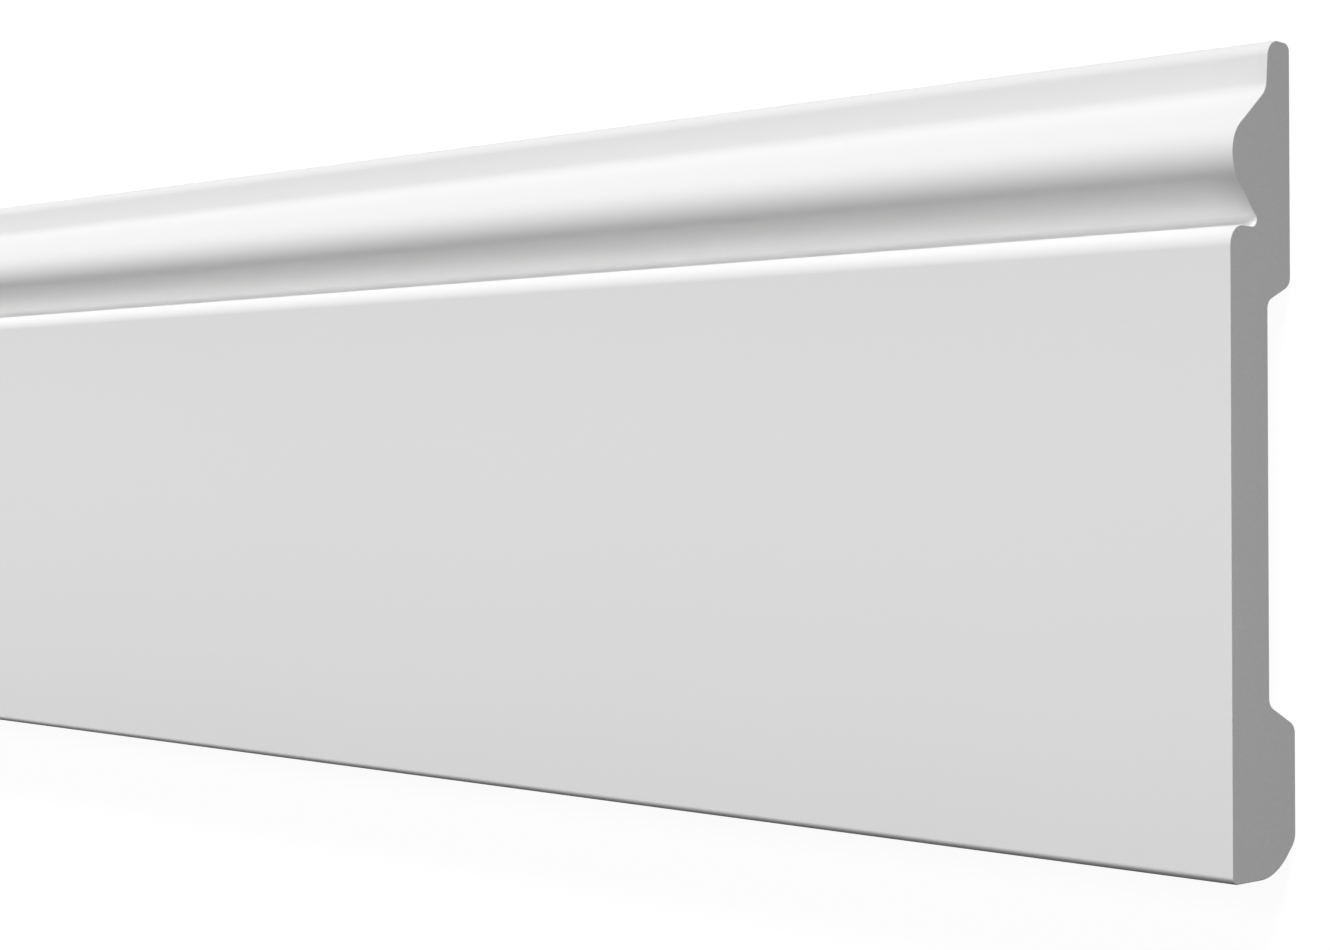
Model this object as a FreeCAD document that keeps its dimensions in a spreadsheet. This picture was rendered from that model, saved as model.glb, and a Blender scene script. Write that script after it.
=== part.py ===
import FreeCAD, Part
import math
import os
import Sketcher

# One length of moulded skirting board, extruded in one piece.
# It lies on its back: X runs along it, Y goes up its height, Z points out of its face.
# The origin is under the middle of the board, on the plane of the lower back pad.

doc = FreeCAD.newDocument("SkirtingBoard")

# Driving dimensions in millimetres and degrees.
# Heights go up from the floor edge, drops come down from the top, setbacks go in from the face.
sheet = doc.addObject("Spreadsheet::Sheet", "Sizes")
driving = [
    ("boardLength", 2000, "length the board is sold in"),
    ("boardHeight", 138, "floor edge to the top of the crown"),
    ("boardDepth", 18, "flat face to the lower back pad"),
    ("webThickness", 10.6, "board between the face and the relief in its back"),
    ("toeRound", 1.3, "arris between the face and the floor edge"),
    ("heelChamfer", 5.6, "corner taken off between the floor edge and the wall"),
    ("heelFloorRound", 10.8, "round from the floor edge into that chamfer"),
    ("heelWallRound", 3.3, "round from the chamfer onto the lower pad"),
    ("lowerPadTop", 24.6, "height at which the lower back pad ends"),
    ("lowerRampAngle", 26.4, "slope of the relief's lower side"),
    ("upperPadDrop", 40.4, "top of the board down to the end of the upper pad"),
    ("upperPadSetback", 0.8, "upper pad in from the plane of the lower one"),
    ("upperRampAngle", 23.9, "slope of the relief's upper side"),
    ("reliefRound", 2.1, "rounds on the four corners of the relief"),
    ("headHeight", 31, "top of the board down to the ledge over the face"),
    ("ledgeFall", 1.9, "fall of the ledge towards the wall"),
    ("ledgeRound", 3.6, "quarter round from the face onto the ledge"),
    ("grooveRound", 1.2, "bottom of the groove under the bead"),
    ("undercutAngle", 48.3, "underside of the bead, below level"),
    ("beadDrop", 19.4, "top of the board down to the centre of the bead"),
    ("beadSetback", 0.7, "front of the bead behind the face"),
    ("beadRound", 6.6, "radius of the bead"),
    ("sweepAngle", 39, "slope of the band from the bead up to the cove"),
    ("coveRound", 3.5, "cove between that band and the crown"),
    ("crownLean", 4.6, "lean of the crown's front towards the wall"),
    ("crownSetback", 10.8, "front round of the crown behind the face"),
    ("crownRound", 2.9, "front round of the crown"),
    ("crownFall", 3.4, "fall of the top towards the wall"),
    ("crownWallRound", 1.4, "round from the top onto the upper pad"),
]
for row, (alias, value, note) in enumerate(driving, start=1):
    sheet.set(f"A{row}", note)
    sheet.set(f"B{row}", str(value))
    sheet.setAlias(f"B{row}", alias)
doc.recompute()


def size(alias):
    return float(sheet.get(alias))


# The board's body
board = doc.addObject("PartDesign::Body", "skirting_board")
board.Label = "skirting_board"
board.setExpression("Placement.Base.y", "-Sizes.boardHeight / 2")

# The section, drawn with sharp corners: heights run to the right, distances from the wall go up.
section = board.newObject("Sketcher::SketchObject", "Section")
acrossPlane = next(plane for plane in board.Origin.OriginFeatures if plane.Role == "YZ_Plane")
section.AttachmentSupport = [(acrossPlane, "")]
section.MapMode = "FlatFace"

# Rough places of the corners, up the face, over the head and down the back.
# The constraints then bring each one to its exact place.
top = size("boardHeight")
face = size("boardDepth")
relief = face - size("webThickness")
crownFront = face - size("crownSetback")
places = {
    "toe": (0, face),
    "ledge": (top - size("headHeight"), face),
    "groove": (top - size("headHeight"), crownFront),
    "bead": (top - size("beadDrop"), face + size("beadRound") / 2),
    "cove": (top - size("beadDrop") / 2, crownFront),
    "crown": (top, crownFront),
    "crownWall": (top, size("upperPadSetback")),
    "upperPad": (top - size("upperPadDrop"), size("upperPadSetback")),
    "reliefTop": (top - size("upperPadDrop") - relief / 2, relief),
    "reliefFoot": (size("lowerPadTop") + relief / 2, relief),
    "lowerPad": (size("lowerPadTop"), 0),
    "heelWall": (size("heelChamfer"), 0),
    "heelFloor": (0, size("heelChamfer")),
}

# Each side is named after the corner it starts from.
corners = list(places)
followers = corners[1:] + corners[:1]
side = {}
for corner, follower in zip(corners, followers):
    start = FreeCAD.Vector(*places[corner], 0)
    end = FreeCAD.Vector(*places[follower], 0)
    side[corner] = section.addGeometry(Part.LineSegment(start, end), False)
for corner, follower in zip(corners, followers):
    section.addConstraint(Sketcher.Constraint("Coincident", side[corner], 2, side[follower], 1))

# The sketch's own axes, and how its constraints count the points of a line or circle
axis = {"level": -1, "upright": -2}
point = {"start": 1, "centre": 3}


def bind(name, constraint, expression):
    index = section.addConstraint(constraint)
    section.renameConstraint(index, name)
    section.setExpression(f"Constraints.{name}", expression)


def fromOrigin(kind, geometry, end, rough):
    return Sketcher.Constraint(kind, axis["level"], point["start"], geometry, point[end], rough)


def setHeight(name, geometry, end, rough, expression):
    bind(name + "Height", fromOrigin("DistanceX", geometry, end, rough), expression)


def setOut(name, geometry, end, rough, expression):
    bind(name + "Out", fromOrigin("DistanceY", geometry, end, rough), expression)


def setCornerHeight(corner, expression):
    setHeight(corner, side[corner], "start", places[corner][0], expression)


def setCornerOut(corner, expression):
    setOut(corner, side[corner], "start", places[corner][1], expression)


def putOnAxis(corner, name):
    section.addConstraint(Sketcher.Constraint("PointOnObject", side[corner], point["start"], axis[name]))


def setSlope(corner, expression):
    line = section.Geometry[side[corner]]
    run = line.EndPoint - line.StartPoint
    rough = math.atan2(run.y, run.x)
    bind(corner + "Slope", Sketcher.Constraint("Angle", side[corner], rough), expression)


def addGuide(name, centre, height, out, radius, touched):
    # a construction circle where a round will be, which two sides touch
    rough = size(radius)
    circle = Part.Circle(FreeCAD.Vector(*centre, 0), FreeCAD.Vector(0, 0, 1), rough)
    guide = section.addGeometry(circle, True)
    bind(name + "Radius", Sketcher.Constraint("Radius", guide, rough), f"Sizes.{radius}")
    setHeight(name, guide, "centre", centre[0], height)
    setOut(name, guide, "centre", centre[1], out)
    for corner in touched:
        section.addConstraint(Sketcher.Constraint("Tangent", side[corner], guide))


# The floor edge is square to the face and to the lower pad.
for corner in ("toe", "heelFloor"):
    putOnAxis(corner, "upright")
for corner in ("lowerPad", "heelWall"):
    putOnAxis(corner, "level")
for corner in ("toe", "crownWall", "reliefTop"):
    section.addConstraint(Sketcher.Constraint("Horizontal", side[corner]))

# The flat face, with the ledge running in from its top
setCornerOut("toe", "Sizes.boardDepth")
setCornerHeight("ledge", "Sizes.boardHeight - Sizes.headHeight")
setSlope("ledge", "-(90 + Sizes.ledgeFall) * 1 deg")

# The bead: its underside runs back into the groove, and a sloping band rises from it.
setSlope("groove", "(90 - Sizes.undercutAngle) * 1 deg")
setSlope("bead", "(Sizes.sweepAngle - 90) * 1 deg")
addGuide(
    name="beadGuide",
    centre=(top - size("beadDrop"), face - size("beadSetback") - size("beadRound")),
    height="Sizes.boardHeight - Sizes.beadDrop",
    out="Sizes.boardDepth - Sizes.beadSetback - Sizes.beadRound",
    radius="beadRound",
    touched=("groove", "bead"),
)

# The crown: its front round reaches the full height of the board.
setSlope("cove", "-Sizes.crownLean * 1 deg")
setSlope("crown", "-(90 + Sizes.crownFall) * 1 deg")
addGuide(
    name="crownGuide",
    centre=(top - size("crownRound"), crownFront - size("crownRound")),
    height="Sizes.boardHeight - Sizes.crownRound",
    out="Sizes.boardDepth - Sizes.crownSetback - Sizes.crownRound",
    radius="crownRound",
    touched=("cove", "crown"),
)

# The back: upper pad, relief with sloping sides, lower pad and heel
setCornerOut("crownWall", "Sizes.upperPadSetback")
setCornerHeight("upperPad", "Sizes.boardHeight - Sizes.upperPadDrop")
setSlope("upperPad", "(90 + Sizes.upperRampAngle) * 1 deg")
setCornerOut("reliefTop", "Sizes.boardDepth - Sizes.webThickness")
setSlope("reliefFoot", "-(90 + Sizes.lowerRampAngle) * 1 deg")
setCornerHeight("lowerPad", "Sizes.lowerPadTop")
setCornerHeight("heelWall", "Sizes.heelChamfer")
setCornerOut("heelFloor", "Sizes.heelChamfer")

# The bar with sharp edges, as long as the stock
bar = board.newObject("PartDesign::Pad", "Bar")
bar.Profile = section
bar.SideType = "Symmetric"
bar.setExpression("Length", "Sizes.boardLength")
doc.recompute()


def edgeAlong(shape, corner):
    # name of the long edge that stands on this corner of the section
    place = section.getPoint(side[corner], point["start"])
    middle = FreeCAD.Vector(0, place.x, place.y)
    distances = [edge.CenterOfMass.distanceToPoint(middle) for edge in shape.Edges]
    nearest = distances.index(min(distances))
    return f"Edge{nearest + 1}"


def roundOff(name, radius, *rounded):
    base = board.Tip
    fillet = board.newObject("PartDesign::Fillet", name)
    fillet.Base = (base, [edgeAlong(base.Shape, corner) for corner in rounded])
    fillet.setExpression("Radius", radius)
    doc.recompute()


# The rounds that the die gives each corner
roundOff("BeadRound", "Sizes.beadRound", "bead")
roundOff("GrooveRound", "Sizes.grooveRound", "groove")
roundOff("CoveRound", "Sizes.coveRound", "cove")
roundOff("CrownRound", "Sizes.crownRound", "crown")
roundOff("CrownWallRound", "Sizes.crownWallRound", "crownWall")
roundOff("LedgeRound", "Sizes.ledgeRound", "ledge")
roundOff("ReliefRound", "Sizes.reliefRound", "upperPad", "reliefTop", "reliefFoot", "lowerPad")
roundOff("HeelWallRound", "Sizes.heelWallRound", "heelWall")
roundOff("HeelFloorRound", "Sizes.heelFloorRound", "heelFloor")
roundOff("ToeRound", "Sizes.toeRound", "toe")

# Nothing is written unless every object is sound.
for thing in doc.Objects:
    if {"Invalid", "Error"} & set(thing.State):
        raise RuntimeError(f"{thing.Label} did not build")
if not section.FullyConstrained:
    raise RuntimeError("the section is not fully constrained")
if board.Shape.isNull() or not board.Shape.isValid() or len(board.Shape.Solids) != 1:
    raise RuntimeError("the board is not one sound solid")

os.makedirs("parts", exist_ok=True)
board.Shape.exportStep(f"parts/{board.Label}.step")

box = board.Shape.BoundBox
print(f"{board.Label}: {box.XLength:.2f} x {box.YLength:.2f} x {box.ZLength:.2f} mm")
print(f"volume {board.Shape.Volume / 1000:.1f} cubic centimetres")
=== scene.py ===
import math

import bmesh
import bpy
from mathutils import Matrix, Vector


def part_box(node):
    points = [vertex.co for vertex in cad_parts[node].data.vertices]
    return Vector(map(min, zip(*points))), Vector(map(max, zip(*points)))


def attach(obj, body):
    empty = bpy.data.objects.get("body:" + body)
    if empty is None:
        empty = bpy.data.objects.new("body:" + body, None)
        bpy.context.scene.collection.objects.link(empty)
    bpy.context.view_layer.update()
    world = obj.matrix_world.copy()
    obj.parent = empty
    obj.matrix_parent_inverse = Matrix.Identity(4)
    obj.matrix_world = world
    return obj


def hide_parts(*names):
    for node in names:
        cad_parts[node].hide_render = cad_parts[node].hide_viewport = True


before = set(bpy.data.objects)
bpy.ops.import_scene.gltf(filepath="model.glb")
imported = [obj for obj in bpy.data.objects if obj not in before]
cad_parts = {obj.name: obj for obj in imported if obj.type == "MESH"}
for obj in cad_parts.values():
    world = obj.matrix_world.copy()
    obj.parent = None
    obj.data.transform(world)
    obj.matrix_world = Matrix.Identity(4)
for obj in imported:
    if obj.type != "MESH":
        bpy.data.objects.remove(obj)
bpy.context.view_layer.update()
boardNode = "skirting_board"
boardLow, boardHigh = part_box(boardNode)
print("frame loaded:", boardNode)

scene = bpy.context.scene
scene.view_settings.view_transform = "Standard"
millimetre = 0.001


# Shader maths as plain expressions

class Wire:
    def __init__(self, shader, socket):
        self.shader = shader
        self.socket = socket

    def maths(self, operation, *values):
        return self.shader.add("ShaderNodeMath", {"operation": operation}, dict(enumerate(values)))

    def __add__(self, other):
        return self.maths("ADD", self, other)

    def __radd__(self, other):
        return self.maths("ADD", other, self)

    def __sub__(self, other):
        return self.maths("SUBTRACT", self, other)

    def __rsub__(self, other):
        return self.maths("SUBTRACT", other, self)

    def __mul__(self, other):
        return self.maths("MULTIPLY", self, other)

    def __rmul__(self, other):
        return self.maths("MULTIPLY", other, self)

    def sine(self):
        return self.maths("SINE", self)


class Shader:
    def __init__(self, owner):
        owner.use_nodes = True
        self.tree = owner.node_tree
        self.tree.nodes.clear()

    def add(self, kind, settings=None, sockets=None, output=0):
        # settings come first, because some of them change which sockets a node uses
        node = self.tree.nodes.new(kind)
        for name, value in (settings or {}).items():
            setattr(node, name, value)
        for name, value in (sockets or {}).items():
            if isinstance(value, Wire):
                self.tree.links.new(value.socket, node.inputs[name])
            else:
                node.inputs[name].default_value = value
        return Wire(self, node.outputs[output]) if node.outputs else None

    def stretched(self, place, scales):
        return self.add("ShaderNodeVectorMath", {"operation": "MULTIPLY"}, {0: place, 1: scales})

    def noise(self, place, scale, detail):
        sockets = {"Vector": place, "Scale": scale, "Detail": detail}
        return self.add("ShaderNodeTexNoise", None, sockets)

    def colour(self, dark, light, share):
        # a Mix node takes its colours at 6 and 7, and gives the mixed one at 2
        sockets = {0: share, 6: dark, 7: light}
        return self.add("ShaderNodeMix", {"data_type": "RGBA"}, sockets, output=2)

    def bump(self, relief):
        # the relief comes in metres, and the node takes it in millimetres
        sockets = {"Height": relief * (1 / millimetre), "Distance": millimetre}
        return self.add("ShaderNodeBump", None, sockets)

    def seen(self):
        # 1 for what the camera sees, straight or in gloss and glass,
        # and 0 for light on its way to the board
        names = ("Is Camera Ray", "Is Glossy Ray", "Is Transmission Ray")
        rays = [self.add("ShaderNodeLightPath", output=name) for name in names]
        return rays[0] + rays[1] + rays[2]


# The section of the board, in millimetres and degrees:
# heights go up from the floor edge, and outs go from the wall towards the room

section = {
    "height": 138,
    "depth": 18,
    "webThickness": 10.6,
    "toeRound": 1.3,
    "heelChamfer": 5.6,
    "heelFloorRound": 10.8,
    "heelWallRound": 3.3,
    "lowerPadTop": 24.6,
    "lowerRampAngle": 26.4,
    "upperPadDrop": 40.4,
    "upperPadSetback": 0.8,
    "upperRampAngle": 23.9,
    "reliefRound": 2.1,
    "headHeight": 31,
    "ledgeFall": 1.9,
    "ledgeRound": 3.6,
    "grooveRound": 1.2,
    "undercutAngle": 48.3,
    "beadDrop": 19.4,
    "beadSetback": 0.7,
    "beadRound": 6.6,
    "sweepAngle": 39,
    "coveRound": 3.5,
    "crownLean": 4.6,
    "crownSetback": 10.8,
    "crownRound": 2.9,
    "crownFall": 3.4,
    "crownWallRound": 1.4,
    "arcStep": 2.5,        # degrees of turn between two points of a round
    "flatStep": 4,         # millimetres between two points of a straight side
}


def direction(turn):
    # unit vector of the section: 0 degrees points out of the face, 90 up the board
    return Vector((math.cos(math.radians(turn)), math.sin(math.radians(turn))))


def sideThrough(turn, out, height):
    # a straight side: the way it faces, and how far it lies from the section's origin
    return turn, direction(turn).dot(Vector((out, height)))


def sideTouching(turn, centre, radius):
    # a straight side that touches a round
    return turn, direction(turn).dot(Vector(centre)) + radius


def crossing(sideA, sideB, shift):
    # where two sides meet once both are moved outwards by the shift
    (turnA, offA), (turnB, offB) = sideA, sideB
    a, b = direction(turnA), direction(turnB)
    offA, offB = offA + shift, offB + shift
    across = a.x * b.y - a.y * b.x
    return Vector(((offA * b.y - offB * a.y) / across, (a.x * offB - b.x * offA) / across))


def sectionSides():
    # each side with the round between it and the next one:
    # up the face, over the head and down the back
    s = section
    top, face = s["height"], s["depth"]
    bead = (face - s["beadSetback"] - s["beadRound"], top - s["beadDrop"])
    crown = (face - s["crownSetback"] - s["crownRound"], top - s["crownRound"])
    padEnd = top - s["upperPadDrop"]
    return [
        (sideThrough(0, face, 0), s["ledgeRound"]),
        (sideThrough(90 + s["ledgeFall"], face, top - s["headHeight"]), s["grooveRound"]),
        (sideTouching(s["undercutAngle"] - 90, bead, s["beadRound"]), s["beadRound"]),
        (sideTouching(90 - s["sweepAngle"], bead, s["beadRound"]), s["coveRound"]),
        (sideTouching(s["crownLean"], crown, s["crownRound"]), s["crownRound"]),
        (sideTouching(90 + s["crownFall"], crown, s["crownRound"]), s["crownWallRound"]),
        (sideThrough(180, s["upperPadSetback"], 0), s["reliefRound"]),
        (sideThrough(-90 - s["upperRampAngle"], s["upperPadSetback"], padEnd), s["reliefRound"]),
        (sideThrough(180, face - s["webThickness"], 0), s["reliefRound"]),
        (sideThrough(90 + s["lowerRampAngle"], 0, s["lowerPadTop"]), s["reliefRound"]),
        (sideThrough(180, 0, 0), s["heelWallRound"]),
        (sideThrough(225, 0, s["heelChamfer"]), s["heelFloorRound"]),     # at 45 degrees
        (sideThrough(270, 0, 0), s["toeRound"]),
    ]


def sectionOutline():
    # the points of the section in order, each with the way the surface faces there
    sides = sectionSides()
    arcs = []
    for (side, radius), (following, _) in zip(sides, sides[1:] + sides[:1]):
        # the turn from one side to the next is less than half a turn either way
        turn = (following[0] - side[0] + 180) % 360 - 180
        bulge = 1 if turn > 0 else -1
        centre = crossing(side, following, -bulge * radius)
        steps = max(2, math.ceil(abs(turn) / section["arcStep"]))
        facings = [direction(side[0] + turn * step / steps) for step in range(steps + 1)]
        arcs.append([(centre + bulge * radius * facing, facing) for facing in facings])
    points = []
    for arc, following in zip(arcs, arcs[1:] + arcs[:1]):
        points += arc
        start, end = arc[-1][0], following[0][0]
        stretches = math.ceil((end - start).length / section["flatStep"])
        points += [(start.lerp(end, i / stretches), arc[-1][1]) for i in range(1, stretches)]
    return points


lift = boardLow.y / millimetre      # row height of the floor edge
outline = [
    (Vector((0, place.y + lift, place.x)) * millimetre, Vector((0, facing.y, facing.x)))
    for place, facing in sectionOutline()
]
print("section drawn:", len(outline), "points")


# The board: the section drawn out along X, cut square at both ends

board = {
    "sawEdge": 0.00012,    # fine break that the saw leaves round a cut
    "stretches": 40,       # rings along the length
    "backFacing": -0.3,    # sides that face the wall more than this have the back's finish
}
skinSlot, sawnSlot, backSlot = 0, 1, 2


def drawOut(name):
    mesh = bpy.data.meshes.new(name)
    work = bmesh.new()
    left, right, edge = boardLow.x, boardHigh.x, board["sawEdge"]
    stretches = board["stretches"]
    inner = [left + (right - left) * i / stretches for i in range(1, stretches)]
    stations = [left, left + edge] + inner + [right - edge, right]
    rings = []
    for station in stations:
        drawnIn = edge if station in (left, right) else 0
        places = [place - facing * drawnIn for place, facing in outline]
        rings.append([work.verts.new((station, place.y, place.z)) for place in places])
    followers = list(range(1, len(outline))) + [0]
    for ring, nextRing in zip(rings, rings[1:]):
        for i, j in enumerate(followers):
            side = work.faces.new((ring[i], nextRing[i], nextRing[j], ring[j]))
            # a side faces as its two long edges do on average
            towardsWall = outline[i][1].z + outline[j][1].z < 2 * board["backFacing"]
            side.material_index = backSlot if towardsWall else skinSlot
    for cut in (rings[0], rings[-1]):
        work.faces.new(cut).material_index = sawnSlot
    bmesh.ops.recalc_face_normals(work, faces=work.faces)
    work.to_mesh(mesh)
    work.free()
    # the section's own facings shade the sides, so the mesh's faces don't show
    facings = [facing for place, facing in outline]
    endways = [Vector((1, 0, 0))] * len(outline)
    mesh.shade_smooth()
    mesh.normals_split_custom_set_from_vertices(
        [-facing for facing in endways] + facings * (len(rings) - 2) + endways
    )
    piece = bpy.data.objects.new(name, mesh)
    scene.collection.objects.link(piece)
    return piece


boardPiece = drawOut("board")
print("board drawn out:", len(boardPiece.data.polygons), "faces")


# The moulded skin: matte primer over what the die leaves,
# which is long fine lines and a soft ripple

skin = {
    "light": (0.908, 0.908, 0.906, 1),
    "dark": (0.886, 0.886, 0.885, 1),
    "clouds": 14,              # soft patches in the primer, to the metre
    "dieLines": 1500,          # across the board, to the metre
    "dieRun": 0.004,           # the same along it, as a share
    "ripple": 380,             # orange peel, to the metre
    "grain": 5200,             # pigment grain, to the metre
    "cloudShare": 0.55,        # the shares of each in the lightness
    "lineShare": 0.3,
    "grainShare": 0.15,
    "lineDepth": 0.000004,     # depths are in metres
    "rippleDepth": 0.000015,
    "grainDepth": 0.000001,
    "roughness": 0.7,
    "roughnessSpread": 0.12,
    "gloss": 0.02,
}


def skinMaterial(name, look):
    material = bpy.data.materials.new(name)
    shader = Shader(material)
    place = shader.add("ShaderNodeTexCoord", output="Object")
    along = shader.stretched(place, (look["dieRun"], 1, 1))
    clouds = shader.noise(place, look["clouds"], detail=3)
    lines = shader.noise(along, look["dieLines"], detail=3)
    ripple = shader.noise(place, look["ripple"], detail=1)
    grain = shader.noise(place, look["grain"], detail=1)
    lightness = clouds * look["cloudShare"] + lines * look["lineShare"] + grain * look["grainShare"]
    relief = lines * look["lineDepth"] + ripple * look["rippleDepth"] + grain * look["grainDepth"]
    # a noise is 0.5 on average, so two of them less 1 swing about 0
    surface = shader.add("ShaderNodeBsdfPrincipled", None, {
        "Base Color": shader.colour(look["dark"], look["light"], lightness),
        "Roughness": look["roughness"] + (lines + clouds - 1) * look["roughnessSpread"],
        "Specular IOR Level": look["gloss"],
        "Normal": shader.bump(relief),
    })
    shader.add("ShaderNodeOutputMaterial", None, {"Surface": surface})
    return material


# The back has no primer, so the die's lines stand clearer and the polymer is a shade duller.

back = dict(
    skin,
    light=(0.885, 0.885, 0.88, 1),
    dark=(0.845, 0.845, 0.84, 1),
    lineDepth=0.000009,
    roughness=0.76,
)


# The sawn ends: closed cells of the foam cut open,
# under the shallow curved scores of the saw blade

sawn = {
    "light": (0.93, 0.93, 0.93, 1),
    "dark": (0.83, 0.83, 0.83, 1),
    "cells": 3800,             # to the metre
    "clouds": 90,
    "cellShare": 0.9,          # the shares of each in the lightness
    "cloudShare": 0.2,
    "scoreShare": 0.05,
    "bladePlace": (0, 0.05, 0.17),      # middle of the blade, up the board and out of the face
    "scores": 1100,            # to the metre
    "scoreWander": 0.0012,     # how far the scores stray, in metres
    "cellDepth": 0.000005,     # depths are in metres
    "scoreDepth": 0.0000012,
    "roughness": 0.78,
    "roughnessSpread": 0.1,
    "gloss": 0.02,
}


def sawnMaterial(name, look):
    material = bpy.data.materials.new(name)
    shader = Shader(material)
    place = shader.add("ShaderNodeTexCoord", output="Object")
    cells = shader.add("ShaderNodeTexVoronoi", None, {"Vector": place, "Scale": look["cells"]})
    clouds = shader.noise(place, look["clouds"], detail=3)
    # the scores are rings round the middle of the blade
    arm = shader.add(
        "ShaderNodeVectorMath", {"operation": "SUBTRACT"}, {0: place, 1: look["bladePlace"]}
    )
    flatArm = shader.stretched(arm, (0, 1, 1))
    reach = shader.add(
        "ShaderNodeVectorMath", {"operation": "LENGTH"}, {0: flatArm}, output="Value"
    )
    scores = ((reach + clouds * look["scoreWander"]) * (look["scores"] * math.tau)).sine()
    lightness = (
        cells * look["cellShare"] + clouds * look["cloudShare"] + scores * look["scoreShare"]
    )
    relief = cells * look["cellDepth"] + scores * look["scoreDepth"]
    # a noise is 0.5 on average, so less 0.5 it swings about 0
    surface = shader.add("ShaderNodeBsdfPrincipled", None, {
        "Base Color": shader.colour(look["dark"], look["light"], lightness),
        "Roughness": look["roughness"] + (clouds - 0.5) * look["roughnessSpread"],
        "Specular IOR Level": look["gloss"],
        "Normal": shader.bump(relief),
    })
    shader.add("ShaderNodeOutputMaterial", None, {"Surface": surface})
    return material


boardPiece.data.materials.append(skinMaterial("mouldedSkin", skin))
boardPiece.data.materials.append(sawnMaterial("sawnFoam", sawn))
boardPiece.data.materials.append(skinMaterial("bareBack", back))
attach(boardPiece, "root")
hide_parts(boardNode)
print("finishes made:", ", ".join(slot.name for slot in boardPiece.data.materials))


# The floor: white to the camera, and it keeps the board's soft shadow

floorLook = {
    "reach": 8,                         # from the middle to each side
    "colour": (0.12, 0.12, 0.12, 1),    # dark, so that it throws little light at the board
    "glow": 0.95,                       # makes it white to the camera
}


def layFloor():
    reach = floorLook["reach"]
    corners = [(-reach, -reach, 0), (reach, -reach, 0), (reach, reach, 0), (-reach, reach, 0)]
    mesh = bpy.data.meshes.new("floor")
    mesh.from_pydata(corners, [], [(0, 1, 2, 3)])
    material = bpy.data.materials.new("paleFloor")
    shader = Shader(material)
    surface = shader.add("ShaderNodeBsdfPrincipled", None, {
        "Base Color": floorLook["colour"],
        "Roughness": 1,
        "Specular IOR Level": 0,
        "Emission Color": shader.seen(),
        "Emission Strength": floorLook["glow"],
    })
    shader.add("ShaderNodeOutputMaterial", None, {"Surface": surface})
    mesh.materials.append(material)
    piece = bpy.data.objects.new("floor", mesh)
    scene.collection.objects.link(piece)
    return piece


layFloor()


# The studio: a soft key lamp past the board's top edge, one on the far end,
# and a strip along the face

studio = {
    "white": 1,            # what the camera sees of the world
    "fill": 0.023,         # what it sheds on the board
}
lamps = {
    # tilt is from straight above the face towards the top edge, swing towards the near cut end
    "keyLamp": {"tilt": 58, "swing": 14, "strength": 2.77, "spread": 20},
    "endLamp": {"tilt": 0, "swing": -87, "strength": 0.9, "spread": 20},
}
stripLamp = {
    "place": (-0.1, 0.002, 0.2),
    "length": 3.2,
    "width": 0.04,
    "power": 1.06,
}


def lightStudio():
    world = bpy.data.worlds.new("studio")
    scene.world = world
    shader = Shader(world)
    fill, white = [
        shader.add("ShaderNodeBackground", None, {"Color": (1, 1, 1, 1), "Strength": studio[name]})
        for name in ("fill", "white")
    ]
    mixed = shader.add("ShaderNodeMixShader", None, {0: shader.seen(), 1: fill, 2: white})
    shader.add("ShaderNodeOutputWorld", None, {"Surface": mixed})


def hangLamp(name, tilt, swing, strength, spread):
    lamp = bpy.data.lights.new(name, "SUN")
    lamp.energy = strength
    lamp.angle = math.radians(spread)
    tilt, swing = math.radians(tilt), math.radians(swing)
    towards = Vector((
        math.sin(swing),
        math.cos(swing) * math.sin(tilt),
        math.cos(swing) * math.cos(tilt),
    ))
    piece = bpy.data.objects.new(name, lamp)
    piece.rotation_euler = towards.to_track_quat("Z", "Y").to_euler()
    scene.collection.objects.link(piece)


def hangStrip(name):
    # it hangs level along the middle of the face and shines straight down
    lamp = bpy.data.lights.new(name, "AREA")
    lamp.shape = "RECTANGLE"
    lamp.size, lamp.size_y = stripLamp["length"], stripLamp["width"]
    lamp.energy = stripLamp["power"]
    piece = bpy.data.objects.new(name, lamp)
    piece.location = stripLamp["place"]
    piece.visible_camera = False
    scene.collection.objects.link(piece)


lightStudio()
for name, lamp in lamps.items():
    hangLamp(name, **lamp)
hangStrip("stripLamp")
print("studio lit:", len(lamps) + 1, "lamps")


# The camera: over the near end, level with the middle of the height,
# looking back along the length

cameraLook = {
    "place": (1.254301, -0.000818, 0.386850),
    "aim": (0.867452, 0.010205, 0.018),
    "lens": 73.462,
    "sensor": 36,
    "shiftY": -0.051517,
    "nearClip": 0.01,
}


def setCamera():
    lens = bpy.data.cameras.new("camera")
    lens.lens = cameraLook["lens"]
    lens.sensor_width = cameraLook["sensor"]
    lens.shift_y = cameraLook["shiftY"]
    lens.clip_start = cameraLook["nearClip"]
    place = Vector(cameraLook["place"])
    backward = (place - Vector(cameraLook["aim"])).normalized()
    right = Vector((0, 1, 0)).cross(backward).normalized()
    turned = Matrix((right, backward.cross(right), backward)).transposed().to_4x4()
    piece = bpy.data.objects.new("camera", lens)
    piece.matrix_world = Matrix.Translation(place) @ turned
    scene.collection.objects.link(piece)
    scene.camera = piece


setCamera()
print("camera set")
